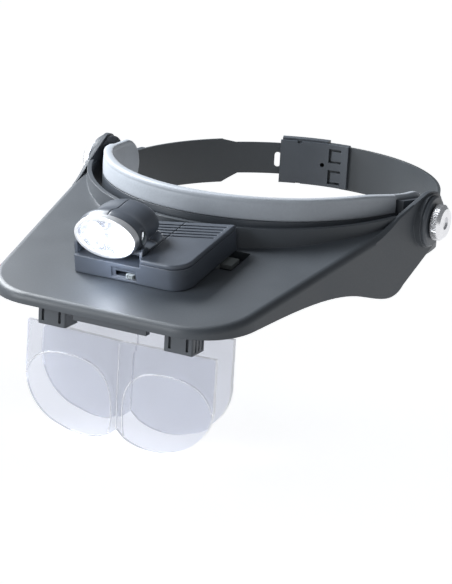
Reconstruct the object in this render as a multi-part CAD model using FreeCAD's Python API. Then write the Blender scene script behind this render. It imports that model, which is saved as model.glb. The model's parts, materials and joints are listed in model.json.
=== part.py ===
import FreeCAD, Part
import math
import os

# Head visor magnifier, in millimetres.
# Origin: centre of the head ring at mid height of the rear strap.
# +X is the wearer's left, -Y is forward, +Z is up.

V = FreeCAD.Vector

# ---------------------------------------------------------------- driving dimensions
RING_X = 82.0            # half width of the head ring, where strap and brow pad meet
RING_Y = 88.0            # half length of the head ring
STRAP_HALF = 11.8        # half height of the strap
STRAP_T = 1.6            # thickness of the strap
STRAP_START = 88.6       # angle from the front where the straps begin
RIVET_ANGLE = 91.0
TONGUE_LOW = -7.0        # the slotted strap's narrow tongue
TONGUE_HIGH = 9.8
BUTTON_ANGLE = -167.0    # release button of the buckle

PAD_T = 3.6              # thickness of the brow pad
PAD_BOTTOM = -8.0
PAD_TOP = 24.6
PAD_LIP = 13.8           # lower edge of the pad's fold over the brow band
PAD_FOLD = 1.5           # thickness of the fold and of the brow band
BAND_BOTTOM = -5.0
BRACKET_Y = -25.5        # front edge of the temple brackets
PAD_END = 4.0            # y of the pad's round ends
PAD_END_R = 14.6

PIVOT_Y = -12.0          # tilt axis of the visor, parallel to X
PIVOT_Z = 9.0
SCREW_R = 2.5            # shank of the thumb screws
FIT = 0.05               # radial clearance of a shaft in its hole
GAP = 0.35               # clearance between moving bodies

WALL = 2.2               # wall of the visor shell
FRONT_Y = -170.0         # front edge of the visor
FRONT_Z = -13.9          # height of the top surface at the front edge
SLOPE = 0.192            # rise of the top surface towards the back
CHEEK_X = 93.0           # cheek plane: x = CHEEK_X + CHEEK_TOE * y
CHEEK_TOE = 0.182
CORNER_R = 29.0          # front corners in plan
RIDGE_R = 3.4            # rounded edge between top and cheeks
SHEET = WALL * math.hypot(1, SLOPE)    # the wall of the sloping top, measured along Z
BOSS_FACE = 86.5         # |x| where the bracket's pivot boss ends
BROW_RISE = 0.347        # slope of the ear wall's top behind the sweep
EAR_R = 14.2             # round ear at the tilt axis
EAR_FACE = 91.8          # |x| of the ear's flat outer face
SCREW_FACE = 94.6        # |x| where the thumb screw's head starts
CUT_X = 90.0             # half width of the cut-out for the forehead
CUT_Y = 92.0             # half length of the same
RIM_Z = 10.8             # top of the upstanding rim at the middle
RIM_RISE = 0.075         # slope of the rim's top towards the ears

CLIP_IN = 25.6           # lens clips: nearer and farther |x|
CLIP_OUT = 40.3
CLIP_BOTTOM = -32.0
HINGE_Y = -150.4         # hinge of the front lens clips
HINGE_Z = -20.6
ROD_R = 1.2
FRONT_LENS_Y = -147.6    # front face of each lens plate, before its bulge
REAR_LENS_Y = -131.0
REAR_RAISE = 5.0         # the rear lens plate sits this much higher
LENS_T = 2.4
LENS_TOP = -34.0
LENS_HALF = 49.2
BULGE = 1.9              # how far each half of a lens plate stands out at its middle
BULGE_R = 190.0          # radius of that bulge

LAMP_FRONT_Y = -143.0    # where the lamp's own frame starts on the visor's top surface
LAMP_RIGHT = 28.6
LAMP_LEFT = -28.4
LAMP_S0 = 1.6            # front face of the lamp housing
LAMP_H = 13.0            # height of the lamp housing with its cover
COVER_T = 2.0
HEAD_X = -12.0           # middle plane of the lamp head
HEAD_H = 20.0            # axis of the lamp head above the visor
HEAD_A = 15.6            # half width of the lamp head
HEAD_B = 9.6             # half height of the lamp head
HEAD_FRONT = 6.0         # where the bezel ends and the head shell starts
HEAD_STRAIGHT = 23.0     # where the round tail starts
HEAD_TAIL = 32.5
DECK_A = 16.8            # half width of the room under the lamp head
DECK_BACK = 34.6         # rear end of that room
TILT_S = 7.6             # tilt axis of the lamp head in the lamp's frame
TILT_H = 13.2
CELL_X = 17.05           # middle of the coin cells
CELL_R = 10.0
CELL_H = 3.2
SPLIT_X = 5.9            # between the head's deck and the battery box
SWITCH_X = -2.6          # middle of the switch window
REAR_S = 42.8            # rear face of the housing at x = 0
REAR_SKEW = 0.31         # the rear face runs back towards +X

PARTS = {}


# ---------------------------------------------------------------- small helpers
def top_z(y):
    """Height of the visor's top surface."""
    return FRONT_Z + SLOPE * (y - FRONT_Y)


def box(x0, x1, y0, y1, z0, z1):
    """Box between two corners."""
    return Part.makeBox(x1 - x0, y1 - y0, z1 - z0, V(x0, y0, z0))


def prism(points, direction):
    """Straight prism on a closed polygon."""
    wire = Part.makePolygon(points + [points[0]])
    return Part.Face(wire).extrude(direction)


def rod(x0, x1, y, z, radius):
    """Cylinder along X."""
    return Part.makeCylinder(radius, x1 - x0, V(x0, y, z), V(1, 0, 0))


def fuse(*shapes):
    """One solid from touching solids."""
    return shapes[0].multiFuse(list(shapes[1:])).removeSplitter()


def mirror(shape):
    """The same piece on the wearer's right."""
    return shape.mirror(V(0, 0, 0), V(1, 0, 0))


def save(name, *solids):
    """Keep one node; several separate solids make a group."""
    PARTS[name] = solids[0] if len(solids) == 1 else Part.makeCompound(list(solids))


def oval(rx, ry, z0, z1):
    """Elliptic cylinder about the head ring's axis."""
    curve = Part.Ellipse(V(0, ry, z0), V(rx, 0, z0), V(0, 0, z0))
    return Part.Face(Part.Wire(curve.toShape())).extrude(V(0, 0, z1 - z0))


def band(inner, outer, z0, z1):
    """Closed band from one offset of the head ring to another."""
    whole = oval(RING_X + outer, RING_Y + outer, z0, z1)
    return whole.cut(oval(RING_X + inner, RING_Y + inner, z0 - 1, z1 + 1))


def ring_point(angle, offset=0.0, z=0.0):
    """Point on the head ring; the angle is from the front, positive to +X."""
    a = math.radians(angle)
    reach = 1 / math.hypot(math.sin(a) / (RING_X + offset), math.cos(a) / (RING_Y + offset))
    return V(reach * math.sin(a), -reach * math.cos(a), z)


def wedge(angle0, angle1, z0=-60.0, z1=60.0):
    """Sector of a disc that selects a stretch of the head ring."""
    steps = max(2, int(abs(angle1 - angle0) / 30) + 1)
    points = [V(0, 0, z0)]
    for i in range(steps + 1):
        a = math.radians(angle0 + (angle1 - angle0) * i / steps)
        points.append(V(250 * math.sin(a), -250 * math.cos(a), z0))
    return prism(points, V(0, 0, z1 - z0))


def radial_plug(angle, z, length, radius, start):
    """Cylinder across the band, pointing outwards."""
    outward = ring_point(angle)
    outward.normalize()
    foot = ring_point(angle, start, z)
    return Part.makeCylinder(radius, length, foot, outward)


def radial_box(angle, z, width, height, depth, start):
    """Upright box across the band, pointing outwards."""
    block = Part.makeBox(width, depth, height, V(-width / 2, 0, -height / 2))
    block.rotate(V(0, 0, 0), V(0, 0, 1), angle + 180)
    block.translate(ring_point(angle, start, z))
    return block


# ---------------------------------------------------------------- head band
def side_prism(points, half=130.0):
    """Prism along X on an outline given as (y, z)."""
    return prism([V(-half, y, z) for y, z in points], V(2 * half, 0, 0))


def brow_pad():
    """Soft pad across the forehead, lower and round at the temples."""
    low = PAD_BOTTOM + PAD_END_R
    high = low + PAD_END_R
    middle = PAD_END - PAD_END_R
    reach = side_prism([(-120, PAD_BOTTOM - 1), (middle, PAD_BOTTOM), (middle, high), (-48, PAD_TOP),
                        (-48, PAD_TOP + 1), (-120, PAD_TOP + 1)])
    ends = rod(-130, 130, middle, low, PAD_END_R)
    pad = band(-PAD_T, 0, PAD_BOTTOM, PAD_TOP).common(reach.fuse(ends))
    fold = band(-0.1, PAD_FOLD, PAD_LIP, PAD_TOP).common(reach)
    fold = fold.common(box(-130, 130, -130, BRACKET_Y - 0.5, 0, 60))
    return fuse(pad, fold)


def brow_band():
    """Stiff band outside the pad, from temple bracket to temple bracket."""
    whole = band(0.05, PAD_FOLD, BAND_BOTTOM, PAD_LIP - 0.05)
    return whole.common(box(-130, 130, -130, BRACKET_Y - 0.5, -40, 40))


def temple_bracket():
    """Plate outside the pad's end that carries the tilt pivot and the strap's rivets."""
    outline = side_prism([(BRACKET_Y, 0), (BRACKET_Y, 20), (-10, 18.6), (0, 17), (8, STRAP_HALF),
                          (16, STRAP_HALF), (16, -STRAP_HALF), (0, -STRAP_HALF), (-16, -4)])
    plate = band(0.05 + STRAP_T, 2.2 + STRAP_T, -20, 30).common(outline)
    plate = plate.fuse(band(0.05, 2.2 + STRAP_T, -20, 30).common(outline).common(
        box(-130, 130, -40, -2.9, -30, 40)))
    plate = plate.common(box(0, 130, -60, 60, -40, 40))
    boss = rod(82.0, BOSS_FACE, PIVOT_Y, PIVOT_Z, 9.0)
    bore = rod(70, 100, PIVOT_Y, PIVOT_Z, SCREW_R + FIT)
    pocket = hex_bar(80.0, 85.2, 4.0)
    return fuse(plate, boss).cut(bore).cut(pocket).cut(oval(RING_X + 0.05, RING_Y + 0.05, -50, 60))


def hex_bar(x0, x1, flat):
    """Hexagonal bar along the tilt axis; flat is half its width across flats."""
    corner = flat / math.cos(math.pi / 6)
    points = []
    for i in range(6):
        a = math.radians(60 * i)
        points.append(V(x0, PIVOT_Y + corner * math.sin(a), PIVOT_Z + corner * math.cos(a)))
    return prism(points, V(x1 - x0, 0, 0))


def pivot_nut():
    """Hexagonal nut that the thumb screw turns in."""
    return hex_bar(82.2, 85.2, 3.95).cut(rod(80, 90, PIVOT_Y, PIVOT_Z, SCREW_R + FIT))


def strap_left_side():
    """Strap on the wearer's right: wide, then a narrow tongue with a row of slots."""
    wide = band(0.05, STRAP_T, -STRAP_HALF, STRAP_HALF).common(wedge(-STRAP_START, -135.5))
    step = band(0.05, STRAP_T, -STRAP_HALF, STRAP_HALF).common(wedge(-135, -141.5))
    low, high = TONGUE_LOW, TONGUE_HIGH
    start = ring_point(-135.5).y
    end = ring_point(-141.5).y
    taper = side_prism([(start, -STRAP_HALF), (start, STRAP_HALF), (end, high), (end, low)])
    tongue = band(0.05, STRAP_T, low, high).common(wedge(-141, -178.2))
    strap = fuse(wide, step.common(taper), tongue)
    for i in range(4):
        strap = strap.cut(slot(-155.7 - 5.5 * i, (low + high) / 2 - 0.6))
    return strap


def slot(angle, z):
    """Upright slot with round ends through the strap."""
    cut = radial_box(angle, z, 3.3, 5.0, 8.0, -3.0)
    for side in (-2.5, 2.5):
        cut = cut.fuse(radial_plug(angle, z + side, 8.0, 1.65, -3.0))
    return cut


def strap_right_side():
    """Strap on the wearer's left, from the buckle to the temple."""
    return band(0.05, STRAP_T, -STRAP_HALF, STRAP_HALF).common(wedge(STRAP_START, 181.2))


def rivet(angle, z):
    """Rivet through strap and bracket."""
    head = radial_plug(angle, z, 0.8, 2.6, 2.2 + STRAP_T)
    return fuse(radial_plug(angle, z, 4.0, 1.25, 0.05), head)


def buckle_frame():
    """Inner plate of the buckle, with two sprung hooks, a peg hole and the right strap's seat."""
    plate = band(-1.7, 0.0, -11.2, 12.1).common(wedge(-156.6, -181.6))
    for z in (6.0, -5.6):
        window = radial_box(-176.6, z, 7.0, 7.6, 6.0, -3.0)
        hook = radial_box(-177.4, z, 6.2, 5.2, 6.0, -3.0)
        plate = plate.cut(window.cut(hook))
    plate = plate.cut(radial_plug(-172.0, 0.4, 6.0, 1.2, -3.0))
    for z in (12.1, -11.2):
        plate = plate.cut(radial_box(-163.5, z, 2.6, 2.0, 6.0, -3.0))
    return plate


def buckle_cover():
    """Outer cover of the buckle: a thick box for the peg, then a thin skirt over the right strap."""
    thick = band(0.05, 5.6, -11.4, 13.2).common(wedge(-157.2, -173.4))
    thick = thick.makeFillet(1.0, [e for e in thick.Edges if is_outer(e, 5.6)])
    skirt = band(0.05, 2.6, -11.4, 12.3).common(wedge(-173.0, -181.2))
    hollow = band(-1.0, 4.3, TONGUE_LOW - 0.4, TONGUE_HIGH + 0.4).common(wedge(-150, -173.0))
    passage = band(-1.0, STRAP_T + 0.05, TONGUE_LOW - 0.4, TONGUE_HIGH + 0.4).common(wedge(-150, -190))
    seat = band(-1.0, STRAP_T + 0.05, -STRAP_HALF - 0.05, STRAP_HALF + 0.05).common(wedge(-176.5, -190))
    cover = fuse(thick, skirt).cut(hollow).cut(passage).cut(seat)
    return cover.cut(radial_box(BUTTON_ANGLE, 1.4, 12.7, 10.7, 12.0, 3.0))


def is_outer(edge, offset):
    """True where an edge lies on the band's outer surface."""
    point = edge.valueAt((edge.FirstParameter + edge.LastParameter) / 2)
    return abs(math.hypot(point.x / (RING_X + offset), point.y / (RING_Y + offset)) - 1) < 1e-4


def release_button():
    """Button that lifts the peg out of the strap's slot; it is pressed towards the head."""
    cap = radial_box(BUTTON_ANGLE, 1.4, 12.0, 10.0, 3.3, 3.5)
    flange = radial_box(BUTTON_ANGLE, 1.4, 14.0, 12.0, 0.6, 3.0)
    return fuse(cap, flange)


def button_spring():
    """Leaf under the release button."""
    return radial_box(BUTTON_ANGLE, 1.4, 9.0, 4.0, 0.3, 1.7)


def make_head_band():
    save("forehead_pad", brow_pad())
    save("brow_band", brow_band())
    bracket = temple_bracket()
    save("temple_bracket_left", bracket)
    save("temple_bracket_right", mirror(bracket))
    nut = pivot_nut()
    save("pivot_nut_left", nut)
    save("pivot_nut_right", mirror(nut))
    places = [(side * RIVET_ANGLE, z) for side in (-1, 1) for z in (-7.0, 4.0)]
    holes = [radial_plug(angle, z, 12.0, 1.25, -5.0) for angle, z in places]
    rivets = [rivet(angle, z) for angle, z in places]
    straps = {"strap_slotted": strap_left_side(), "strap_plain": strap_right_side()}
    for name in ("temple_bracket_left", "temple_bracket_right"):
        PARTS[name] = PARTS[name].cut(Part.makeCompound(holes))
    for name, strap in straps.items():
        save(name, strap.cut(Part.makeCompound(holes)))
    save("strap_rivets", *rivets)
    save("buckle_frame", buckle_frame())
    save("buckle_cover", buckle_cover())
    save("release_button", release_button())
    save("button_spring", button_spring())


# ---------------------------------------------------------------- visor shell
def plan_prism(inset, z0=-60.0, z1=60.0):
    """Plan of the visor as a tall prism, moved inwards by inset."""
    side = inset / math.cos(math.atan(CHEEK_TOE))
    back = 6.0 + inset
    front = FRONT_Y + inset
    points = []
    for y in (back, front):
        points.append(V(CHEEK_X + CHEEK_TOE * y - side, y, z0))
    points += [V(-p.x, p.y, z0) for p in reversed(points)]
    solid = prism(points, V(0, 0, z1 - z0))
    corners = [e for e in solid.Edges
               if abs(e.Vertexes[0].X - e.Vertexes[-1].X) < 1e-6 and e.Vertexes[0].Y < front + 0.01
               and e.Vertexes[-1].Y < front + 0.01 and abs(e.Vertexes[0].Z - e.Vertexes[-1].Z) > 1]
    return solid.makeFillet(CORNER_R - inset, corners)


def tangent(point, side):
    """Where the line from point touches the round ear; side picks one of the two."""
    dy, dz = point.y - PIVOT_Y, point.z - PIVOT_Z
    turn = math.atan2(dz, dy) + side * math.acos(EAR_R / math.hypot(dy, dz))
    return V(0, PIVOT_Y + EAR_R * math.cos(turn), PIVOT_Z + EAR_R * math.sin(turn))


def side_outline():
    """Side view of the visor as a prism along X."""
    brow = V(0, -38.0, 15.0)
    chin = V(0, -30.0, -19.5)
    ear_top = tangent(brow, -1)
    ear_low = tangent(chin, 1)
    flat_end = V(0, -54.0, top_z(-54.0))
    front_top = V(0, FRONT_Y - 1, top_z(FRONT_Y - 1))
    front_low = V(0, FRONT_Y - 1, -18.6)
    sweep = brow_sweep()
    low = Part.BSplineCurve()
    low.interpolate([chin, V(0, -38.0, -23.6), V(0, -48.0, -22.9), V(0, -68.0, -17.3),
                     V(0, -98.0, -13.9), V(0, -130.0, -15.4), V(0, -154.0, -17.6), front_low])
    back = V(0, PIVOT_Y + EAR_R, PIVOT_Z)
    ear = Part.Arc(ear_top, back, ear_low)
    edges = [Part.makeLine(front_low, front_top), Part.makeLine(front_top, flat_end),
             sweep.toShape(), Part.makeLine(brow, ear_top), ear.toShape(),
             Part.makeLine(ear_low, chin), low.toShape()]
    face = Part.Face(Part.Wire(Part.__sortEdges__(edges)))
    face.translate(V(-130, 0, 0))
    return face.extrude(V(260, 0, 0))


def brow_sweep():
    """Curve from the flat top up to the ear, in side view."""
    sweep = Part.BSplineCurve()
    sweep.interpolate([V(0, -54.0, top_z(-54.0)), V(0, -45.5, 11.3), V(0, -38.0, 15.0)])
    return sweep


def ridge_taper():
    """Tool that bevels the ear wall's outer edge, less and less towards the ear."""
    sweep = brow_sweep()
    places = [V(0, -57.0, top_z(-57.0)), V(0, -54.0, top_z(-54.0))]
    places += [sweep.value(sweep.LastParameter * i / 6) for i in range(1, 7)]
    places.append(V(0, -26.0, 15.0 + 12.0 * BROW_RISE))
    sections = []
    for i, place in enumerate(places):
        leg = 1.8 - 0.15 * i
        x, y, z = CHEEK_X + CHEEK_TOE * place.y, place.y, place.z
        corners = [V(x - leg - 1, y, z + 1), V(x + 1, y, z - leg - 1), V(x + 3, y, z + 3)]
        sections.append(Part.makePolygon(corners + [corners[0]]))
    return Part.makeLoft(sections, True, True)


def under_top(drop):
    """Everything below the top surface lowered by drop, measured along Z."""
    front, back, floor = FRONT_Y - 30, 30.0, -60.0
    return side_prism([(front, top_z(front) - drop), (back, top_z(back) - drop), (back, floor), (front, floor)])


def lamp_place(shape):
    """Move a shape from the lamp's own frame onto the visor's top surface."""
    moved = shape.copy()
    moved.rotate(V(0, 0, 0), V(1, 0, 0), math.degrees(math.atan(SLOPE)))
    moved.translate(V(0, LAMP_FRONT_Y, top_z(LAMP_FRONT_Y)))
    return moved


def flat_prism(points, z0, z1):
    """Prism along the lamp frame's height on an outline given as (x, s)."""
    return prism([V(x, s, z0) for x, s in points], V(0, 0, z1 - z0))


def visor_shell():
    """Thin moulded hood with cheeks, forehead cut-out, rim, ears and lamp socket."""
    block = plan_prism(0).common(under_top(0))
    ridge = [e for e in block.Edges
             if all(abs(v.Point.z - top_z(v.Point.y)) < 0.01 for v in e.Vertexes)
             and min(v.Point.y for v in e.Vertexes) < -100]
    hood = block.makeFillet(RIDGE_R, ridge).common(side_outline())
    room = plan_prism(WALL).common(under_top(SHEET))
    walls = plan_prism(0).cut(plan_prism(WALL)).common(side_outline())
    walls = walls.common(box(-130, 130, -56, 30, -60, 60))
    shell = fuse(hood.cut(room), walls)
    shell = shell.cut(ridge_taper()).cut(mirror(ridge_taper()))
    cut_out = oval(CUT_X, CUT_Y, -60, 60).common(plan_prism(WALL))
    rim_front = RIM_Z - RIM_RISE * (120 - CUT_Y - WALL)
    rim_top = side_prism([(-120, rim_front), (0, rim_front + 120 * RIM_RISE), (0, -60), (-120, -60)])
    rim = oval(CUT_X + WALL, CUT_Y + WALL, -20, 40).common(rim_top).common(plan_prism(1.0))
    rim = rim.cut(side_prism([(-200, -60), (-200, top_z(-200) - WALL), (0, top_z(0) - WALL), (0, -60)]))
    rim = rim.common(box(-130, 130, -130, -36, -60, 60))
    tray = lamp_place(flat_prism([(0, 29), (38.5, 29), (38.5, 53), (26, 53), (19, 48), (0, 48)], -6.2, -1.0))
    ear = rod(BOSS_FACE + GAP, EAR_FACE, PIVOT_Y, PIVOT_Z, EAR_R - 1.0)
    shell = fuse(fuse(shell, rim, tray).cut(cut_out), ear, mirror(ear))
    facing = rod(EAR_FACE, 110, PIVOT_Y, PIVOT_Z, EAR_R + 1.0)
    shell = shell.cut(facing).cut(mirror(facing))
    pocket = flat_prism([(8, 31), (36.5, 31), (36.5, 51), (27, 51), (20, 46), (8, 46)], -4.7, 8)
    hook_room = flat_prism([(2, 31), (9, 31), (9, 46), (2, 46)], -4.7, -2.2)
    shell = shell.cut(lamp_place(fuse(pocket, hook_room)))
    shell = shell.cut(rod(-120, 120, PIVOT_Y, PIVOT_Z, SCREW_R + FIT))
    for side in (-1, 1):
        shell = shell.cut(Part.makeCylinder(1.0, 8, V(side * 44.0, HINGE_Y, top_z(HINGE_Y) - 0.8 - 8)))
    return shell


def pivot_washer():
    """Friction washer between ear and thumb screw."""
    face = EAR_FACE + 1.9
    disc = rod(EAR_FACE, face, PIVOT_Y, PIVOT_Z, 12.4)
    disc = disc.makeChamfer(0.8, [e for e in disc.Edges if abs(e.CenterOfMass.x - face) < 0.01])
    neck = rod(face, SCREW_FACE - GAP, PIVOT_Y, PIVOT_Z, 6.5)
    return fuse(disc, neck).cut(rod(90, 100, PIVOT_Y, PIVOT_Z, SCREW_R + FIT))


def thumb_screw():
    """Knurled thumb screw whose shank is the visor's tilt axle."""
    start, end, ridges = SCREW_FACE, SCREW_FACE + 4.7, 44
    points = []
    for i in range(2 * ridges):
        a = math.pi * i / ridges
        radius = 8.8 if i % 2 else 8.35
        points.append(V(start, PIVOT_Y + radius * math.cos(a), PIVOT_Z + radius * math.sin(a)))
    head = prism(points, V(end - start, 0, 0))
    cone = Part.makeCone(9.9, 7.0, 2.9, V(end - 2.9, PIVOT_Y, PIVOT_Z), V(1, 0, 0))
    head = head.common(fuse(rod(start, end - 2.9, PIVOT_Y, PIVOT_Z, 9.9), cone))
    dimple = rod(end - 0.7, end + 1, PIVOT_Y, PIVOT_Z, 3.0)
    return fuse(head, rod(82.6, start + 1, PIVOT_Y, PIVOT_Z, SCREW_R)).cut(dimple)


# ---------------------------------------------------------------- lenses and their holders
def lens_rail():
    """Bar screwed under the visor with the hinge lugs of the front clips."""
    roof = under_top(SHEET + 0.02)
    bar = box(-47.5, 47.5, HINGE_Y - 5.5, HINGE_Y + 6.0, -16.4, 0)
    panel = box(-19.0, 19.0, HINGE_Y - 7.5, HINGE_Y - 4.0, -25.4, 0)
    rail = fuse(bar, panel)
    for side in (-1, 1):
        middle = side * (CLIP_IN - 3.0)
        lug = fuse(box(middle - 2.2, middle + 2.2, HINGE_Y - 2.8, HINGE_Y + 2.8, HINGE_Z, -16.0),
                   rod(middle - 2.2, middle + 2.2, HINGE_Y, HINGE_Z, 2.8))
        rail = fuse(rail, lug)
    rail = rail.common(roof)
    rail = rail.cut(rod(-60, 60, HINGE_Y, HINGE_Z, ROD_R + FIT))
    for side in (-1, 1):
        rail = rail.cut(Part.makeCylinder(1.0, 30, V(side * 44.0, HINGE_Y, -30.0)))
    return rail


def rail_screw(x):
    """Screw that holds the rail to the visor."""
    head = Part.makeCylinder(2.2, 1.3, V(x, HINGE_Y, -17.7))
    return fuse(head, Part.makeCylinder(1.0, top_z(HINGE_Y) - 0.9 + 16.5, V(x, HINGE_Y, -16.5)))


def tab_socket(face_y, bottom):
    """Room for the lens plate's tab, with sliding clearance."""
    middle = face_y + LENS_T / 2
    return box(CLIP_IN + 2.0, CLIP_OUT - 2.0, middle - LENS_T / 2 - GAP, middle + LENS_T / 2 + GAP,
               bottom - 1, bottom + 7.2)


def front_clip():
    """Hinged clip that grips one tab of the front lens plate."""
    body = box(CLIP_IN, CLIP_OUT, HINGE_Y - 3.0, HINGE_Y + 8.4, CLIP_BOTTOM, HINGE_Z - 1.6)
    upright = [e for e in body.Edges if abs(e.Vertexes[0].Z - e.Vertexes[1].Z) > 1]
    body = body.makeFillet(0.8, upright)
    knuckle = fuse(rod(CLIP_IN, CLIP_OUT, HINGE_Y, HINGE_Z, 2.9),
                   box(CLIP_IN, CLIP_OUT, HINGE_Y - 2.9, HINGE_Y + 2.9, HINGE_Z - 2.5, HINGE_Z))
    clip = fuse(body, knuckle).cut(tab_socket(FRONT_LENS_Y, CLIP_BOTTOM))
    for x in (CLIP_IN + 2.4, CLIP_OUT - 3.4):
        clip = clip.cut(box(x, x + 1.3, HINGE_Y - 4, HINGE_Y - 1.8, CLIP_BOTTOM + 1.6, CLIP_BOTTOM + 7.6))
    for i in range(3):
        y = HINGE_Y - 0.4 + 3.0 * i
        clip = clip.cut(box(CLIP_OUT - 0.6, CLIP_OUT + 1, y, y + 0.9, CLIP_BOTTOM + 1.2, CLIP_BOTTOM + 8.0))
    return clip.cut(rod(0, 60, HINGE_Y, HINGE_Z, ROD_R))


def rear_clip():
    """Fixed clip under the visor for the rear lens plate."""
    middle = REAR_LENS_Y + LENS_T / 2
    bottom = CLIP_BOTTOM + REAR_RAISE
    body = box(CLIP_IN, CLIP_OUT, middle - 4.2, middle + 4.2, bottom, 0)
    clip = body.common(under_top(SHEET + 0.02))
    return clip.cut(tab_socket(REAR_LENS_Y, bottom))


def lens_plate(face_y):
    """Twin magnifying plate with two tabs; each half bulges towards the front."""
    half = [V(0, face_y, LENS_TOP - 0.6), V(LENS_HALF, face_y, LENS_TOP + 0.6)]
    right = [Part.makeLine(half[0], half[1]),
             Part.makeLine(half[1], V(LENS_HALF, face_y, -54.0)),
             Part.Arc(V(LENS_HALF, face_y, -54.0), V(44.0, face_y, -72.0), V(29.0, face_y, -81.4)).toShape(),
             Part.Arc(V(29.0, face_y, -81.4), V(14.0, face_y, -83.4), V(4.0, face_y, -80.4)).toShape(),
             Part.makeLine(V(4.0, face_y, -80.4), V(0, face_y, -77.0)),
             Part.makeLine(V(0, face_y, -77.0), half[0])]
    face = Part.Face(Part.Wire(right))
    sheet = face.extrude(V(0, LENS_T, 0))
    ball = Part.makeSphere(BULGE_R, V(25.5, face_y + BULGE_R - BULGE, -58.0))
    front = face.copy()
    front.translate(V(0, -6, 0))
    bulge = front.extrude(V(0, 6.5, 0)).common(ball)
    side = sheet.fuse(bulge)
    tab = box(CLIP_IN + 2.0 + GAP, CLIP_OUT - 2.0 - GAP, face_y, face_y + LENS_T,
              LENS_TOP - 2, CLIP_BOTTOM + 6.6)
    side = side.fuse(tab)
    return fuse(side, mirror(side))


def make_visor():
    save("visor_shell", visor_shell())
    for name, piece in (("pivot_washer", pivot_washer()), ("thumb_screw", thumb_screw()),
                        ("front_clip", front_clip()), ("rear_clip", rear_clip())):
        save(name + "_left", piece)
        save(name + "_right", mirror(piece))
    save("lens_rail", lens_rail())
    save("rail_screws", rail_screw(44.0), rail_screw(-44.0))
    save("hinge_rod", rod(-CLIP_OUT, CLIP_OUT, HINGE_Y, HINGE_Z, ROD_R))
    save("front_lens_plate", lens_plate(FRONT_LENS_Y))
    rear = lens_plate(REAR_LENS_Y)
    rear.translate(V(0, 0, REAR_RAISE))
    save("rear_lens_plate", rear)


# ---------------------------------------------------------------- lamp, in its own frame (x, s, h)
def lamp_plan(inset):
    """Plan of the lamp housing, moved inwards; the front corner at +X is round."""
    x0, x1, s0 = LAMP_LEFT + inset, LAMP_RIGHT - inset, LAMP_S0 + inset
    back = REAR_S - inset / math.cos(math.atan(REAR_SKEW))
    radius = 9.0 - inset
    corner = radius * (1 - math.sqrt(0.5))
    edges = [Part.makeLine(V(x0, s0, 0), V(x1 - radius, s0, 0)),
             Part.Arc(V(x1 - radius, s0, 0), V(x1 - corner, s0 + corner, 0), V(x1, s0 + radius, 0)).toShape(),
             Part.makeLine(V(x1, s0 + radius, 0), V(x1, back + REAR_SKEW * x1, 0)),
             Part.makeLine(V(x1, back + REAR_SKEW * x1, 0), V(x0, back + REAR_SKEW * x0, 0)),
             Part.makeLine(V(x0, back + REAR_SKEW * x0, 0), V(x0, s0, 0))]
    return Part.Face(Part.Wire(edges))


def plan_block(inset, z0, z1):
    """Block with the housing's plan."""
    face = lamp_plan(inset)
    face.translate(V(0, 0, z0))
    return face.extrude(V(0, 0, z1 - z0))


def rib_grooves():
    """Grip grooves across the rear of the housing and its cover."""
    grooves = []
    for i in range(5):
        back = REAR_S - 4.0 - 3.1 * i
        points = [(LAMP_LEFT - 2, back + REAR_SKEW * (LAMP_LEFT - 2)),
                  (LAMP_RIGHT - 2.5, back + REAR_SKEW * (LAMP_RIGHT - 2.5)),
                  (LAMP_RIGHT - 2.5, back + 1.1 + REAR_SKEW * (LAMP_RIGHT - 2.5)),
                  (LAMP_LEFT - 2, back + 1.1 + REAR_SKEW * (LAMP_LEFT - 2))]
        grooves.append(flat_prism(points, LAMP_H - 0.7, LAMP_H + 1))
    return Part.makeCompound(grooves)


def tail_room(h0, h1):
    """Room for the lamp head's round tail."""
    curve = Part.Ellipse(V(HEAD_X + DECK_A, HEAD_STRAIGHT, h0), V(HEAD_X, DECK_BACK, h0),
                         V(HEAD_X, HEAD_STRAIGHT, h0))
    return Part.Face(Part.Wire(curve.toShape())).extrude(V(0, 0, h1 - h0))


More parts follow.
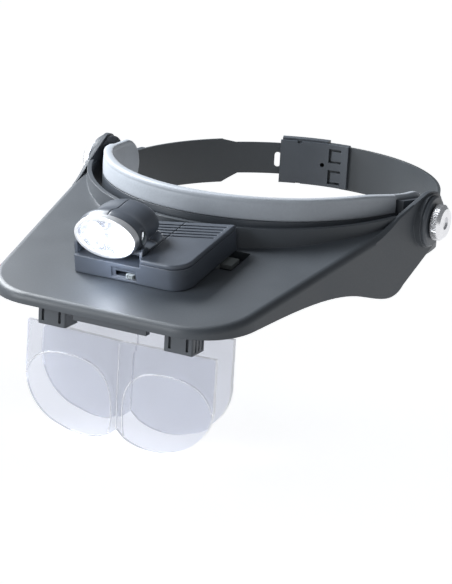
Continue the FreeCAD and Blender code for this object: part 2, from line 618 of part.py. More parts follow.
def lamp_housing():
    """Moulded body of the lamp: battery box, low deck under the head, fork ears, rear block."""
    body = plan_block(0, GAP, LAMP_H)
    front_deck = box(LAMP_LEFT - 1, SPLIT_X, -1, 12.0, 8.8, 30)
    rear_deck = box(HEAD_X - DECK_A, HEAD_X + DECK_A, 11.9, HEAD_STRAIGHT, 6.2, 30)
    tail_deck = tail_room(6.2, 30)
    body = body.cut(front_deck).cut(rear_deck).cut(tail_deck)
    cover_room = plan_block(-1, LAMP_H - COVER_T - GAP, LAMP_H + 1)
    body = body.cut(cover_room.common(box(SPLIT_X - 0.05, 60, -5, 80, 0, 30)))
    cavity = plan_block(1.4, -1, LAMP_H - COVER_T + 1)
    battery_box = cavity.common(box(SPLIT_X + 1.0, 60, -5, 80, 1.9, 20))
    under_head = cavity.common(box(LAMP_LEFT, SPLIT_X - 0.1, -5, 33.0, -1, 4.8))
    under_front = cavity.common(box(LAMP_LEFT, SPLIT_X - 0.1, -5, 10.6, -1, 7.4))
    behind_head = cavity.common(box(LAMP_LEFT, SPLIT_X - 0.1, 32.5, 80, -1, LAMP_H - 1.6))
    behind_head = behind_head.cut(box(-60, 60, 0, DECK_BACK + 1.4, 4.8, 30))
    for room in (battery_box, under_head, under_front, behind_head, plan_block(1.4, -1, 1.85)):
        body = body.cut(room)
    window = box(SWITCH_X - 6.5, SWITCH_X + 6.5, -2, 2.4, 1.6, 6.6)
    slot_cut = box(SWITCH_X - 4.6, SWITCH_X + 5.6, -2, 6.0, 2.4, 4.8)
    body = body.cut(window).cut(slot_cut)
    for x0 in (HEAD_X + HEAD_A + 0.75, HEAD_X - HEAD_A - 0.75 - 1.5):
        ear = fuse(box(x0, x0 + 1.5, TILT_S - 3.0, TILT_S + 3.0, 6.0, TILT_H),
                   rod(x0, x0 + 1.5, TILT_S, TILT_H, 3.0))
        body = fuse(body, ear)
    body = body.cut(rod(-60, 60, TILT_S, TILT_H, 1.5 + FIT).common(box(-60, SPLIT_X, -5, 30, 0, 30)))
    return body.cut(rib_grooves())


def battery_cover():
    """Cover plate that slides forward off the battery box."""
    plate = plan_block(0, LAMP_H - COVER_T, LAMP_H).common(box(SPLIT_X + GAP, 60, -5, 80, 0, 30))
    rim = [e for e in plate.Edges
           if abs(e.Vertexes[0].Z - LAMP_H) < 0.01 and abs(e.Vertexes[-1].Z - LAMP_H) < 0.01
           and (e.CenterOfMass.x > LAMP_RIGHT - 8 or e.CenterOfMass.y < LAMP_S0 + 0.1)]
    plate = plate.makeFillet(0.9, rim)
    return plate.cut(rib_grooves())


def bottom_plate():
    """Floor that closes the lamp housing."""
    return plan_block(1.5, GAP, 1.8)


def lamp_foot():
    """Tongue under the lamp that slides in the visor's socket."""
    tongue = box(3.0, 26.0, 33.5, 44.5, -4.3, -2.6)
    wing = box(24.5, 31.8, 40.0, 48.0, -4.3, -2.2)
    neck = box(9.5, 24.0, 35.0, 43.0, -2.7, GAP)
    return fuse(tongue, wing, neck)


def coin_cells():
    """Two coin cells side by side in height."""
    centre = V(CELL_X, 24.0, 2.6)
    low = Part.makeCylinder(CELL_R, CELL_H, centre)
    high = Part.makeCylinder(CELL_R, CELL_H, centre.add(V(0, 0, CELL_H + 0.05)))
    return low, high


def cell_contacts():
    """Plus and minus contact leaves above and below the cells."""
    low = box(CELL_X - 3, CELL_X + 3, 14.0, 38.0, 1.9, 2.4)
    high = box(CELL_X - 3, CELL_X + 3, 16.0, 40.0, 9.2, 9.6)
    return low, high


def circuit_board():
    """Board with the switch body and the lamp's resistor."""
    board = box(-25.5, 3.8, 12.6, 31.5, 2.1, 3.5)
    resistor = box(-18.0, -12.0, 18.0, 20.0, 3.5, 4.6)
    return fuse(board, resistor)


def switch_slider():
    """Thumb slider of the on/off switch."""
    x0, x1 = SWITCH_X + 1.4, SWITCH_X + 5.2
    stem = box(x0, x1, 1.1, 5.4, 2.75, 4.45)
    back = box(x0 - 1.4, x1 + 0.8, 5.4, 6.4, 2.2, 5.2)
    ribs = [box(x0 + 0.4 + 1.2 * i, x0 + 1.0 + 1.2 * i, 0.7, 1.2, 2.75, 4.45) for i in range(3)]
    return fuse(stem, back, *ribs)


def head_solid(grow, s0, seam_side):
    """Outer form of the lamp head, moved outwards by grow: an elliptic barrel with a round tail."""
    length = HEAD_TAIL - HEAD_STRAIGHT + grow
    sections = [(s0, 1.0), ((s0 + HEAD_STRAIGHT) / 2, 1.0)]
    for degrees in (0, 16, 32, 48, 62, 74, 82):
        turn = math.radians(degrees)
        sections.append((HEAD_STRAIGHT + length * math.sin(turn), math.cos(turn)))
    rings = []
    for s, share in sections:
        a, b = share * (HEAD_A + grow), share * (HEAD_B + grow)
        start = V(HEAD_X + seam_side * a, s, HEAD_H)
        curve = Part.Ellipse(start, V(HEAD_X, s, HEAD_H + b), V(HEAD_X, s, HEAD_H))
        rings.append(Part.Wire(curve.toShape()))
    return Part.makeLoft(rings, True)


def elliptic_bar(a, b, s0, s1):
    """Elliptic bar along the lamp head's axis."""
    curve = Part.Ellipse(V(HEAD_X + a, s0, HEAD_H), V(HEAD_X, s0, HEAD_H + b), V(HEAD_X, s0, HEAD_H))
    return Part.Face(Part.Wire(curve.toShape())).extrude(V(0, s1 - s0, 0))


def head_halves():
    """The lamp head's two shells, which meet on its middle plane."""
    seam = box(HEAD_X - 0.25, HEAD_X + 0.25, 0, 60, HEAD_H + HEAD_B - 0.5, 60)
    halves = []
    for side in (-1, 1):
        x0, x1 = (HEAD_X + 0.02, 40) if side > 0 else (-60, HEAD_X - 0.02)
        shell = head_solid(0, HEAD_FRONT, -side).cut(head_solid(-1.3, HEAD_FRONT - 1, -side))
        half = shell.common(box(x0, x1, 0, 60, 0, 60)).cut(seam)
        edge = HEAD_X + side * (HEAD_A + 0.75 + 1.3)
        root = HEAD_X + side * (HEAD_A - 4.8)
        stub = rod(min(edge, root), max(edge, root), TILT_S, TILT_H, 1.5)
        halves.append(fuse(half, stub))
    return halves


def bezel():
    """Bright ring round the lamp's lens."""
    ring = elliptic_bar(HEAD_A + 0.4, HEAD_B + 0.4, 2.0, HEAD_FRONT - 0.02)
    rims = [e for e in ring.Edges if abs(e.CenterOfMass.y - 2.0) < 0.01]
    ring = ring.makeFillet(0.5, rims)
    return ring.cut(elliptic_bar(HEAD_A - 1.3, HEAD_B - 1.3, 0, 10))


def reflector():
    """Twin cup reflector with a wall between the cups."""
    block = elliptic_bar(HEAD_A - 1.4, HEAD_B - 1.4, 3.9, 13.0)
    for side in (-1, 1):
        middle = HEAD_X + side * 6.9
        cup = Part.makeCone(2.3, 6.6, 8.0, V(middle, 11.9, HEAD_H), V(0, -1, 0))
        block = block.cut(cup).cut(rod_s(middle, 10.0, 14.0, 2.35))
    return block


def rod_s(x, s0, s1, radius):
    """Cylinder along the lamp head's axis."""
    return Part.makeCylinder(radius, s1 - s0, V(x, s0, HEAD_H), V(0, 1, 0))


def led(x):
    """Light-emitting diode with a domed tip."""
    body = rod_s(x, 8.4, 13.6, 2.25)
    return fuse(body, Part.makeSphere(2.25, V(x, 8.4, HEAD_H)))


def make_lamp():
    pieces = {
        "lamp_housing": [lamp_housing()],
        "battery_cover": [battery_cover()],
        "lamp_bottom_plate": [bottom_plate()],
        "lamp_foot": [lamp_foot()],
        "coin_cells": coin_cells(),
        "cell_contacts": cell_contacts(),
        "circuit_board": [circuit_board()],
        "switch_slider": [switch_slider()],
        "lamp_bezel": [bezel()],
        "lamp_reflector": [reflector()],
        "lamp_lens": [elliptic_bar(HEAD_A - 1.4, HEAD_B - 1.4, 2.6, 3.8)],
        "lamp_leds": [led(HEAD_X - 6.9), led(HEAD_X + 6.9)],
        "led_board": [elliptic_bar(HEAD_A - 2.2, HEAD_B - 2.2, 13.7, 15.0)],
    }
    halves = head_halves()
    pieces["lamp_head_right"] = [halves[0]]
    pieces["lamp_head_left"] = [halves[1]]
    for name, solids in pieces.items():
        save(name, *[lamp_place(solid) for solid in solids])


make_head_band()
make_visor()
make_lamp()
os.makedirs("parts", exist_ok=True)
for name, shape in PARTS.items():
    shape.exportStep("parts/" + name + ".step")
    sizes = shape.BoundBox
    print(f"{name:22s} solids {len(shape.Solids)} valid {shape.isValid()} volume {shape.Volume:9.1f} "
          f"x {sizes.XMin:7.1f} {sizes.XMax:7.1f} y {sizes.YMin:7.1f} {sizes.YMax:7.1f} "
          f"z {sizes.ZMin:7.1f} {sizes.ZMax:7.1f}")
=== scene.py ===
import bpy
import json
import math
from mathutils import Matrix, Vector, noise
from mathutils.bvhtree import BVHTree

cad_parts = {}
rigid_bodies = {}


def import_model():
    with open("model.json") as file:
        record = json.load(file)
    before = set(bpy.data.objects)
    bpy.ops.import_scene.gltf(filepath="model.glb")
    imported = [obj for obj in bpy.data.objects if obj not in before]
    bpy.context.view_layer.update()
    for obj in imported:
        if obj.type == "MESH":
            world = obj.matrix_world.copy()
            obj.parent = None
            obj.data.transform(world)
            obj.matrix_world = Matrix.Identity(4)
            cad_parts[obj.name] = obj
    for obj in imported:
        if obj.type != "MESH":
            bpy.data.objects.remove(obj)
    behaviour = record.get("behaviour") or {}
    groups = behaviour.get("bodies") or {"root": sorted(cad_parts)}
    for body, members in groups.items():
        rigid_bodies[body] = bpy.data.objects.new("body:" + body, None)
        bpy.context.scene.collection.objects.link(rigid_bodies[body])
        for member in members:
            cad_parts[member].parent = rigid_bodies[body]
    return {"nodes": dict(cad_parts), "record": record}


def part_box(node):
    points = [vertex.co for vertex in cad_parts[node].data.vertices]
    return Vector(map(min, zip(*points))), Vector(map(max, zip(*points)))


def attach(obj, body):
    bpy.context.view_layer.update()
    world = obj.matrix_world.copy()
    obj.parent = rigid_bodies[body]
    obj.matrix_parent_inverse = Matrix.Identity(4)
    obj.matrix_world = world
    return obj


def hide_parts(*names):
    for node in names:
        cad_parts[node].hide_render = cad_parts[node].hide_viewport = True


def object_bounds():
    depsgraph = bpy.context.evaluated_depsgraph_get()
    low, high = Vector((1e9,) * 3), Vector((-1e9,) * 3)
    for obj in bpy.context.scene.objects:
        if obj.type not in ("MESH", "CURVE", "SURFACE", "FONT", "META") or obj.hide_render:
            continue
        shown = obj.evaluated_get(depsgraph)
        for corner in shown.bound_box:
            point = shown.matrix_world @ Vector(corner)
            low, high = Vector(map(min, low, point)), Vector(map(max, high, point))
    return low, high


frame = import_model()
cad_low, cad_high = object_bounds()

MM = 0.001

# ---------------------------------------------------------------- camera
CAMERA_AT = Vector((0.4815, -0.9992, 0.2934))
AZIMUTH = 26.75          # degrees, seen from the wearer's front left
ELEVATION = 17.15
ROLL = 3.36
LENS = 140.36
SENSOR = 36


def make_camera():
    """Camera at the wearer's front left, a little above the visor."""
    azimuth, elevation, roll = (math.radians(v) for v in (AZIMUTH, ELEVATION, ROLL))
    right = Vector((math.cos(azimuth), math.sin(azimuth), 0))
    back = Vector((math.sin(azimuth) * math.cos(elevation), -math.cos(azimuth) * math.cos(elevation),
                   math.sin(elevation)))
    up = back.cross(right)
    x = math.cos(roll) * right + math.sin(roll) * up
    y = math.cos(roll) * up - math.sin(roll) * right
    turn = Matrix((x, y, back)).transposed().to_4x4()
    data = bpy.data.cameras.new("camera")
    data.lens = LENS
    data.sensor_width = SENSOR
    camera = bpy.data.objects.new("camera", data)
    bpy.context.scene.collection.objects.link(camera)
    camera.matrix_world = Matrix.Translation(CAMERA_AT) @ turn
    bpy.context.scene.camera = camera


# ---------------------------------------------------------------- materials
class Nodes:
    """A material's node tree with short calls."""

    def __init__(self, name):
        self.material = bpy.data.materials.new(name)
        self.material.use_nodes = True
        self.tree = self.material.node_tree
        self.shader = self.tree.nodes["Principled BSDF"]
        self.place = self.add("ShaderNodeTexCoord").outputs["Object"]

    def add(self, kind, inputs=None, **settings):
        """A new node; an input given as a socket is linked, anything else is set."""
        node = self.tree.nodes.new(kind)
        for key, value in settings.items():
            setattr(node, key, value)
        for key, value in (inputs or {}).items():
            if isinstance(value, bpy.types.NodeSocket):
                self.tree.links.new(value, node.inputs[key])
            else:
                node.inputs[key].default_value = value
        return node

    def set(self, **values):
        """Constants straight on the shader; underscores stand for spaces."""
        for key, value in values.items():
            self.shader.inputs[key.replace("_", " ")].default_value = value

    def link(self, socket, name):
        """Links a socket to the shader's input of that name."""
        self.tree.links.new(socket, self.shader.inputs[name])

    def noise(self, size, detail=3.0, rough=0.55, stretch=None):
        """Noise from 0 to 1 with features of about size metres; stretch scales the three axes."""
        place = self.place
        if stretch:
            place = self.add("ShaderNodeMapping", {"Vector": place, "Scale": stretch}).outputs[0]
        node = self.add("ShaderNodeTexNoise", {"Vector": place, "Scale": 1 / size, "Detail": detail,
                                               "Roughness": rough})
        return node.outputs["Fac"]

    def ramp(self, value, low, high, to_low=0.0, to_high=1.0):
        """Maps low to high onto to_low to to_high, and clamps."""
        node = self.add("ShaderNodeMapRange", {"Value": value, "From Min": low, "From Max": high,
                                               "To Min": to_low, "To Max": to_high})
        return node.outputs[0]

    def mix(self, share, first, second):
        """First colour where share is 0, second where it is 1."""
        node = self.add("ShaderNodeMix", data_type="RGBA")
        factor, colour_a, colour_b = node.inputs["Factor"], node.inputs[6], node.inputs[7]
        for socket, value in ((factor, share), (colour_a, first), (colour_b, second)):
            if isinstance(value, bpy.types.NodeSocket):
                self.tree.links.new(value, socket)
            else:
                socket.default_value = value
        return node.outputs[2]

    def math(self, operation, first, second):
        return self.add("ShaderNodeMath", {0: first, 1: second}, operation=operation).outputs[0]

    def edge(self, radius):
        """Rounded normal, and a mask that is 1 on sharp outer edges."""
        rounded = self.add("ShaderNodeBevel", {"Radius": radius}, samples=6).outputs[0]
        flat = self.add("ShaderNodeNewGeometry").outputs["Normal"]
        dot = self.add("ShaderNodeVectorMath", {0: rounded, 1: flat}, operation="DOT_PRODUCT")
        return rounded, self.ramp(dot.outputs["Value"], 0.985, 0.86)

    def bump(self, height, distance, strength=1.0, normal=None):
        inputs = {"Height": height, "Distance": distance, "Strength": strength}
        if normal is not None:
            inputs["Normal"] = normal
        return self.add("ShaderNodeBump", inputs).outputs[0]


def shade(colour, factor):
    """The colour made lighter or darker."""
    return tuple(min(1.0, c * factor) for c in colour[:3]) + (1.0,)


def moulded(name, colour, rough, grain=0.0006, depth=0.00003, round_edge=0.0006, wear=0.35, cloud=0.12):
    """Moulded plastic: fine spark-eroded grain, faint flow clouding, edges rubbed a little lighter."""
    n = Nodes(name)
    clouds = n.noise(0.035, 3)
    specks = n.noise(0.0022, 2)
    fine = n.noise(grain, 3, 0.6)
    normal, edges = n.edge(round_edge)
    base = n.mix(n.ramp(clouds, 0.3, 0.7), shade(colour, 1 - cloud), shade(colour, 1 + cloud))
    base = n.mix(n.ramp(specks, 0.58, 0.75, 0, 0.16), base, shade(colour, 1.25))
    rubbed = n.math("MULTIPLY", edges, n.ramp(specks, 0.35, 0.6, 0.3, 1.0))
    base = n.mix(n.math("MULTIPLY", rubbed, wear), base, shade(colour, 1.9))
    n.link(base, "Base Color")
    patches = n.math("ADD", n.math("MULTIPLY", fine, 0.5), n.math("MULTIPLY", clouds, 0.5))
    n.link(n.ramp(patches, 0.35, 0.65, rough - 0.07, rough + 0.07), "Roughness")
    n.link(n.bump(fine, depth, 0.6, normal), "Normal")
    n.set(IOR=1.5)
    return n.material


def metal(name, colour, rough, lines=None, depth=0.00001, dirt=0.25):
    """Metal with fine machining lines and a little grime in the dull patches."""
    n = Nodes(name)
    clouds = n.noise(0.006, 3)
    fine = n.noise(0.0004, 2, 0.6, lines)
    normal, edges = n.edge(0.00025)
    base = n.mix(n.ramp(clouds, 0.45, 0.75, 0, dirt), colour, shade(colour, 0.62))
    base = n.mix(n.math("MULTIPLY", edges, 0.5), base, shade(colour, 1.2))
    n.link(base, "Base Color")
    n.link(n.ramp(fine, 0.3, 0.7, rough - 0.06, rough + 0.1), "Roughness")
    n.link(n.bump(fine, depth, 0.5, normal), "Normal")
    n.set(Metallic=1.0)
    return n.material


ZONE_X = 0.0265          # middle of each half's reading zone, across
ZONE_UP = 0.0146         # and up from the plate's lowest edge
ZONE_WIDTH = 0.0235      # half width
ZONE_HEIGHT = 0.0235     # half height
ZONE_POWER = 2.6         # 2 is an ellipse; more is squarer
SEAM_EDGE = 0.007        # the band along the ridge between the halves fades in from here
SEAM_FULL = 0.002        # to here, across
PAINTED_EDGE_GLOW = 0.36         # painted glow on the cut edges of the acrylic: emission that stands in for light piped to them


def clear(name, tint, rough, zone_z=None):
    """Clear moulded acrylic: painted bright edges (an emission glow), handling marks and, round zone_z, a
    stronger zone in each half.
    """
    n = Nodes(name)
    smears = n.noise(0.012, 4, 0.6, (1.0, 1.0, 0.4))
    scuffs = n.noise(0.0012, 2, 0.5, (1.0, 1.0, 0.25))
    body = n.mix(n.ramp(smears, 0.4, 0.7), shade(tint, 1.0), shade(tint, 0.97))
    if zone_z is not None:
        axes = n.add("ShaderNodeSeparateXYZ", {"Vector": n.place}).outputs
        from_middle = n.math("ABSOLUTE", axes["X"], 0.0)
        across = n.math("DIVIDE", n.math("SUBTRACT", from_middle, ZONE_X), ZONE_WIDTH)
        along = n.math("DIVIDE", n.math("SUBTRACT", axes["Z"], zone_z), ZONE_HEIGHT)
        reach = n.math("ADD", n.math("POWER", n.math("ABSOLUTE", across, 0.0), ZONE_POWER),
                       n.math("POWER", n.math("ABSOLUTE", along, 0.0), ZONE_POWER))
        body = n.mix(n.ramp(from_middle, SEAM_EDGE, SEAM_FULL, 0, 0.6), body, shade(tint, 0.9))
        body = n.mix(n.ramp(reach, 1.06, 0.94), body, shade(tint, 1.09))
    n.link(body, "Base Color")
    n.link(n.ramp(scuffs, 0.62, 0.8, rough, rough + 0.06), "Roughness")
    n.link(n.bump(scuffs, 0.000005, 0.4), "Normal")
    # painted highlight: faces turned away from front and back glow a little, so the cut edges look lit
    normal = n.add("ShaderNodeTexCoord").outputs["Normal"]
    facing = n.add("ShaderNodeSeparateXYZ", {"Vector": normal}).outputs["Y"]
    cut = n.ramp(n.math("ABSOLUTE", facing, 0.0), 0.7, 0.3)
    n.link(n.math("MULTIPLY", cut, PAINTED_EDGE_GLOW), "Emission Strength")
    n.set(Transmission_Weight=0.88, IOR=1.49, Emission_Color=(0.90, 0.92, 0.97, 1.0))
    return n.material


def vinyl(name, colour):
    """Soft vinyl skin over foam: small pebbled grain, sheen, and slight soiling along the brow."""
    n = Nodes(name)
    pebbles = n.add("ShaderNodeTexVoronoi", {"Vector": n.place, "Scale": 1 / 0.0011},
                    feature="SMOOTH_F1").outputs["Distance"]
    fine = n.noise(0.0005, 3)
    clouds = n.noise(0.02, 4)
    base = n.mix(n.ramp(clouds, 0.35, 0.7), shade(colour, 1.03), shade(colour, 0.93))
    base = n.mix(n.ramp(pebbles, 0.25, 0.65, 0, 0.18), base, shade(colour, 0.78))
    n.link(base, "Base Color")
    n.link(n.ramp(fine, 0.3, 0.7, 0.48, 0.62), "Roughness")
    height = n.math("SUBTRACT", n.math("MULTIPLY", fine, 0.4), pebbles)
    n.link(n.bump(height, 0.00006, 0.7), "Normal")
    n.set(Sheen_Weight=0.15, Sheen_Roughness=0.5)
    return n.material


def glowing(name, colour, strength):
    """Lit part of the lamp, with a slightly uneven surface."""
    n = Nodes(name)
    clouds = n.noise(0.002, 2)
    n.link(n.mix(clouds, shade(colour, 0.9), shade(colour, 1.0)), "Base Color")
    n.link(n.ramp(clouds, 0.3, 0.7, 0.1, 0.2), "Roughness")
    n.set(Emission_Color=colour, Emission_Strength=strength)
    return n.material


def mirrored(name, colour, glow):
    """Vacuum-coated reflector, rippled, with a painted glow that stands in for the lamp's light in it, uneven
    over the ripples.
    """
    n = Nodes(name)
    ripple = n.noise(0.0025, 3)
    n.link(n.mix(n.ramp(ripple, 0.4, 0.7), colour, shade(colour, 0.85)), "Base Color")
    n.link(n.ramp(ripple, 0.3, 0.7, 0.08, 0.2), "Roughness")
    n.link(n.bump(ripple, 0.0001, 0.4), "Normal")
    # painted glow: emission for the LEDs' light reflected in the reflector, stronger in the ripples' low
    # spots
    n.link(n.ramp(ripple, 0.42, 0.62, glow, glow * 0.12), "Emission Strength")
    n.set(Metallic=1.0, Emission_Color=(0.9, 0.95, 1.0, 1.0))
    return n.material


def solder_board(name, colour):
    """Circuit board lacquer over copper tracks."""
    n = Nodes(name)
    tracks = n.add("ShaderNodeTexBrick", {"Vector": n.place, "Scale": 260.0, "Mortar Size": 0.06,
                                          "Color1": shade(colour, 1.0), "Color2": shade(colour, 0.8),
                                          "Mortar": shade(colour, 1.8)})
    n.link(tracks.outputs["Color"], "Base Color")
    n.link(n.bump(tracks.outputs["Fac"], 0.00005, 0.5), "Normal")
    n.set(Roughness=0.35)
    return n.material


LENS_TINT = (0.735, 0.752, 0.812, 1)
LENS_ROUGH = 0.01

MATERIALS = {
    "hood_plastic": moulded("hood_plastic", (0.044, 0.051, 0.060, 1), 0.50),
    "dark_plastic": moulded("dark_plastic", (0.052, 0.060, 0.071, 1), 0.42, round_edge=0.0004),
    "strap_plastic": moulded("strap_plastic", (0.032, 0.037, 0.042, 1), 0.45, grain=0.0009, depth=0.00002,
                             round_edge=0.0003, cloud=0.06),
    "lamp_plastic": moulded("lamp_plastic", (0.060, 0.070, 0.088, 1), 0.38, round_edge=0.0008),
    "foot_plastic": moulded("foot_plastic", (0.26, 0.28, 0.28, 1), 0.5, round_edge=0.0003),
    "pad_foam": vinyl("pad_foam", (0.31, 0.335, 0.37, 1)),
    "silver": metal("silver", (0.80, 0.80, 0.82, 1), 0.24, (0.15, 1.0, 1.0)),
    "bright_ring": metal("bright_ring", (0.93, 0.94, 0.97, 1), 0.34, (1.0, 6.0, 1.0)),
    "steel": metal("steel", (0.52, 0.53, 0.55, 1), 0.3),
    "brass": metal("brass", (0.62, 0.46, 0.20, 1), 0.3),
    "clear_lens": clear("clear_lens", LENS_TINT, LENS_ROUGH),
    "reflector": mirrored("reflector", (0.9, 0.92, 0.95, 1), 0.9),
    "led": glowing("led", (0.93, 0.97, 1.0, 1), 5.0),
    "board": solder_board("board", (0.02, 0.13, 0.06, 1)),
}


def paint_frame():
    """Every CAD node takes its record slot's material."""
    for part in frame["record"]["subparts"]:
        piece, slot = frame["nodes"][part["node"]], part["material_slot"]
        piece.data.materials.clear()
        piece.data.materials.append(MATERIALS[slot])


# ---------------------------------------------------------------- raised lines on the lens plates
# section of a line in mm: across, and out of the plate's face
BEAD_SECTION = ((-0.45, -0.08), (-0.32, 0.07), (-0.12, 0.14), (0.12, 0.14), (0.32, 0.07), (0.45, -0.08))
TOWARDS_LENS = Vector((0, 1, 0))
RAY_START = 0.05         # how far in front of a plate the search for its face starts
RIDGE_X = 0.02 * MM      # a hair off the middle, where the plate's two halves join
ZONE_ARC = range(0, 213, 3)     # degrees round a reading zone, from its outer side over the top


def bead(points, faces, path):
    """Adds a low rounded line along a path on a plate's front face."""
    if len(path) < 2:
        return
    first, count = len(points), len(BEAD_SECTION)
    for i, place in enumerate(path):
        along = (path[min(i + 1, len(path) - 1)] - path[max(i - 1, 0)]).normalized()
        across = along.cross(TOWARDS_LENS).normalized()
        out = across.cross(along)
        if out.y > 0:
            out = -out
        points += [place + (across * a + out * b) * MM for a, b in BEAD_SECTION]
    for i in range(len(path) - 1):
        for j in range(count):
            k = (j + 1) % count
            near, far = first + i * count, first + (i + 1) * count
            faces.append((near + j, near + k, far + k, far + j))
    faces.append(tuple(first + j for j in reversed(range(count))))
    faces.append(tuple(len(points) - count + j for j in range(count)))


def lens_lines(node, body, zones):
    """The ridge between the halves, and the edge of the reading zone in each half named in zones."""
    plate = frame["nodes"][node].data
    tree = BVHTree.FromPolygons([v.co for v in plate.vertices], [p.vertices for p in plate.polygons])
    low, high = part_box(node)

    def on_front(x, z):
        return tree.ray_cast(Vector((x, low.y - RAY_START, z)), TOWARDS_LENS)[0]

    points, faces = [], []
    steps = int((high.z - low.z) / MM)
    ridge = [on_front(RIDGE_X, high.z - i * MM) for i in range(steps)]
    bead(points, faces, [p for p in ridge if p])
    for side in zones:
        arc = []
        for degrees in ZONE_ARC:
            c, s = math.cos(math.radians(degrees)), math.sin(math.radians(degrees))
            x = ZONE_X + ZONE_WIDTH * math.copysign(abs(c) ** (2 / ZONE_POWER), c)
            z = low.z + ZONE_UP + ZONE_HEIGHT * math.copysign(abs(s) ** (2 / ZONE_POWER), s)
            arc.append(on_front(side * x, z))
        bead(points, faces, [p for p in arc if p])
    mesh = bpy.data.meshes.new(node + "_lines")
    mesh.from_pydata(points, [], faces)
    mesh.validate()
    for polygon in mesh.polygons:
        polygon.use_smooth = len(polygon.vertices) == 4
    lines = bpy.data.objects.new(node + "_lines", mesh)
    bpy.context.scene.collection.objects.link(lines)
    mesh.materials.append(MATERIALS["clear_lens"])
    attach(lines, body)


def make_lens_lines():
    """Both plates have the ridge; only the front one has reading zones, in both halves."""
    front = frame["nodes"]["front_lens_plate"]
    zone_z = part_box("front_lens_plate")[0].z + ZONE_UP
    front.data.materials[0] = clear("front_lens", LENS_TINT, LENS_ROUGH, zone_z)
    lens_lines("front_lens_plate", "front_lens", (-1, 1))
    lens_lines("rear_lens_plate", "rear_lens", ())


# ---------------------------------------------------------------- brow pad
RING_X = 0.082           # half width and half length of the head ring
RING_Y = 0.088
PAD_FOLD = 0.0015        # how far the fold over the brow band stands out
PAD_MIDDLE = -0.0018     # middle of its thickness, from the ring
PAD_END_Y = 0.004        # rear end of the pad
PAD_END_R = 0.0146       # radius of its round ends
PAD_RISE_Y = -0.048      # where the upper edge reaches its full height
ROUND_HALF = 0.0056      # half heights below which the section's roundings and its thickness shrink
THICK_HALF = 0.006
FRONT_STEPS = 30         # sections from the middle of the brow to the brackets
SWELL = ((55.0, 0.00014), (190.0, 0.00005))     # frequency and height of the pad's unevenness
FOLD_END_STEPS = (-4.0, -2.0, -1.0, -0.45, 0.0, 0.5, 3.0, 7.0, 11.0)     # mm from the end of the fold
PAD_END_STEPS = (8, 18, 28, 38, 48, 57, 65, 72, 78, 83, 86.5)     # degrees round the pad's end


def pad_heights(y):
    """Lowest and highest point of the pad at a place along the ring."""
    low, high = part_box("forehead_pad")[0].z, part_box("forehead_pad")[1].z
    turn_y = PAD_END_Y - PAD_END_R
    if y > turn_y:
        half = math.sqrt(max(0.0, PAD_END_R ** 2 - (y - turn_y) ** 2))
        return low + PAD_END_R - half, low + PAD_END_R + half
    share = min(1.0, max(0.0, (turn_y - y) / (turn_y - PAD_RISE_Y)))
    end_top = low + 2 * PAD_END_R
    return low, end_top + (high - end_top) * (share * share * (3 - 2 * share))


def pad_section(low, high, lip, fold):
    """Closed outline (offset, height) in m: crowned inner face, fold over the brow band, welded lines.

    The lists hold offsets in mm. Near the pad's ends the section gets lower and thinner.
    """
    half = (high - low) / 2
    k = min(1.0, half / ROUND_HALF) * MM
    thick = min(1.0, math.sqrt(half / THICK_HALF))
    f = fold / MM
    lip = min(max(lip, low + 4.2 * k), high - 4.2 * k)
    middle = (low + high) / 2
    crown_low = low + (middle - low) * 0.55
    crown_high = high - (high - middle) * 0.55
    fold_down = [((f - 3.5) / 2, high), (f - 0.7, high - 0.12 * k), (f - 0.12, high - 0.9 * k),
                 (f, high - 1.9 * k), (f - 0.24, high - 2.5 * k), (f, high - 3.1 * k),
                 (f + 0.04, (high + lip) / 2), (f, lip + 1.3 * k), (f - 0.12, lip + 0.4 * k),
                 (f * 0.6, lip + 0.05 * k), (-0.05, lip)]
    under = [(-0.1, lip - 0.8 * k), (-0.15, low + 3.4 * k), (-0.25, low + 1.0 * k), (-0.9, low + 0.15 * k),
             (-1.8, low), (-2.9, low + 0.15 * k), (-3.4, low + 0.9 * k), (-3.5, low + 1.9 * k)]
    inner_up = [(-3.28, low + 2.5 * k), (-3.52, low + 3.1 * k), (-3.7, crown_low), (-3.8, middle),
                (-3.7, crown_high), (-3.52, high - 3.1 * k), (-3.28, high - 2.5 * k),
                (-3.5, high - 1.9 * k), (-3.4, high - 0.9 * k), (-2.9, high - 0.15 * k)]
    points = fold_down + under + inner_up
    return [(PAD_MIDDLE + (o * MM - PAD_MIDDLE) * thick, h) for o, h in points]


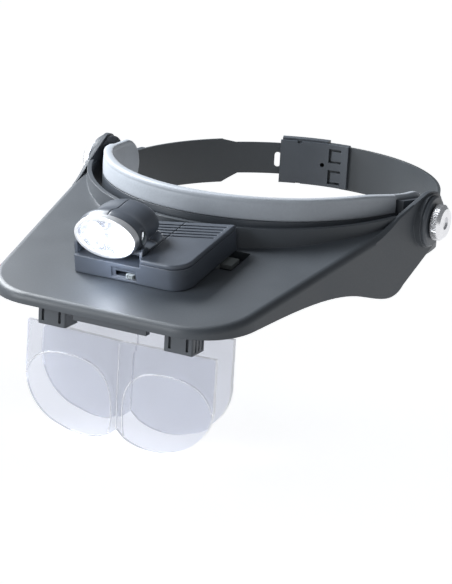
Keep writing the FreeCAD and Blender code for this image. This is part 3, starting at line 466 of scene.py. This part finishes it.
def make_pad():
    """Brow pad: the section swept along the ring, with round ends and a fold that stops at the brackets."""
    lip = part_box("brow_band")[1].z
    fold_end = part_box("brow_band")[1].y
    turn_y = PAD_END_Y - PAD_END_R
    side = [fold_end + d * MM for d in FOLD_END_STEPS] + [turn_y]
    side += [turn_y + PAD_END_R * math.sin(math.radians(a)) for a in PAD_END_STEPS]
    first = math.acos(-side[0] / RING_Y)
    angles = [first * i / FRONT_STEPS for i in range(FRONT_STEPS)] + [math.acos(-y / RING_Y) for y in side]
    angles = [-a for a in reversed(angles[1:])] + angles
    points, faces = [], []
    for angle in angles:
        y = -RING_Y * math.cos(angle)
        share = min(1.0, max(0.0, (fold_end - y) / (1.0 * MM)))
        section = pad_section(*pad_heights(y), lip, PAD_FOLD * share)
        outward = Vector((math.sin(angle), -math.cos(angle), 0))
        for offset, height in section:
            reach_x, reach_y = RING_X + offset, RING_Y + offset
            place = Vector((reach_x * math.sin(angle), -reach_y * math.cos(angle), height))
            swell = sum(noise.noise(place * rate) * size for rate, size in SWELL)
            points.append(place + outward * swell * (1 if offset > PAD_MIDDLE else -1))
        count = len(section)
    for i in range(len(angles) - 1):
        for j in range(count):
            k = (j + 1) % count
            faces.append((i * count + j, i * count + k, (i + 1) * count + k, (i + 1) * count + j))
    faces.append(tuple(range(count)))
    faces.append(tuple(range(len(points) - 1, len(points) - 1 - count, -1)))
    mesh = bpy.data.meshes.new("brow_pad")
    mesh.from_pydata(points, [], faces)
    mesh.validate()
    pad = bpy.data.objects.new("brow_pad", mesh)
    bpy.context.scene.collection.objects.link(pad)
    smooth = pad.modifiers.new("smooth", "SUBSURF")
    smooth.levels = smooth.render_levels = 1
    for polygon in mesh.polygons:
        polygon.use_smooth = True
    mesh.materials.append(MATERIALS["pad_foam"])
    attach(pad, "headband")
    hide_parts("forehead_pad")


# ---------------------------------------------------------------- floor and light
WHITE = (1, 1, 1, 1)
FLOOR = 40.0             # half width
FLOOR_GAP = 0.0005       # how far the floor lies below the object
FLOOR_GLOW = 0.79
SKY = (0.92, 0.96, 1.0, 1)
SKY_STRENGTH = 0.26
TARGET = Vector((0.0, -0.06, 0.0))      # what the soft lights point at
COOL = (0.93, 0.965, 1.0)               # their colour
# name: place, width and power of each soft light
SOFT_LIGHTS = {"key": ((-0.60, 0.03, 0.50), 0.34, 15.5), "front": ((-0.62, -0.90, 0.26), 0.6, 11.0)}
LAMP_AT = (-0.006, -0.1545, 0.0040)     # in front of the lamp's lens
LAMP_COLOUR = (0.80, 0.87, 1.0)
LAMP_POWER = 0.014
LAMP_SIZE = 0.005


def make_floor():
    """Pale floor with a glow of its own, because the soft lights don't reach it."""
    z = cad_low.z - FLOOR_GAP
    mesh = bpy.data.meshes.new("floor")
    corners = [(-FLOOR, -FLOOR, z), (FLOOR, -FLOOR, z), (FLOOR, FLOOR, z), (-FLOOR, FLOOR, z)]
    mesh.from_pydata(corners, [], [(0, 1, 2, 3)])
    floor = bpy.data.objects.new("floor", mesh)
    bpy.context.scene.collection.objects.link(floor)
    n = Nodes("floor")
    grain = n.noise(0.4, 2)
    n.link(n.mix(grain, (0.90, 0.90, 0.91, 1), (0.93, 0.93, 0.94, 1)), "Base Color")
    n.set(Roughness=0.9, Emission_Color=WHITE, Emission_Strength=FLOOR_GLOW)
    mesh.materials.append(n.material)


def soft_light(name, at, size, power):
    """Square area light that points at the target."""
    data = bpy.data.lights.new(name, "AREA")
    data.energy = power
    data.size = size
    data.color = COOL
    light = bpy.data.objects.new(name, data)
    bpy.context.scene.collection.objects.link(light)
    turn = (TARGET - Vector(at)).to_track_quat("-Z", "Y").to_matrix().to_4x4()
    light.matrix_world = Matrix.Translation(at) @ turn
    return light


def lamp_glow():
    """Small bluish light in front of the lamp, which moves with the lamp head."""
    data = bpy.data.lights.new("lamp_beam", "POINT")
    data.energy = LAMP_POWER
    data.shadow_soft_size = LAMP_SIZE
    data.color = LAMP_COLOUR
    lamp = bpy.data.objects.new("lamp_beam", data)
    bpy.context.scene.collection.objects.link(lamp)
    lamp.location = LAMP_AT
    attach(lamp, "lamp_head")


def make_light():
    """Soft sky, two soft lights that fall on the object only, and the lamp's own glow."""
    world = bpy.data.worlds.new("studio")
    world.use_nodes = True
    background = world.node_tree.nodes["Background"]
    background.inputs["Color"].default_value = SKY
    background.inputs["Strength"].default_value = SKY_STRENGTH
    bpy.context.scene.world = world
    lights = [soft_light(name, *values) for name, values in SOFT_LIGHTS.items()]
    lit = bpy.data.collections.new("lit")
    for piece in bpy.context.scene.objects:
        if piece.type == "MESH" and piece.name != "floor":
            lit.objects.link(piece)
    for light in lights:
        light.light_linking.receiver_collection = lit
    lamp_glow()
    bpy.context.scene.view_settings.view_transform = "Standard"


make_camera()
paint_frame()
make_lens_lines()
make_pad()
make_floor()
make_light()
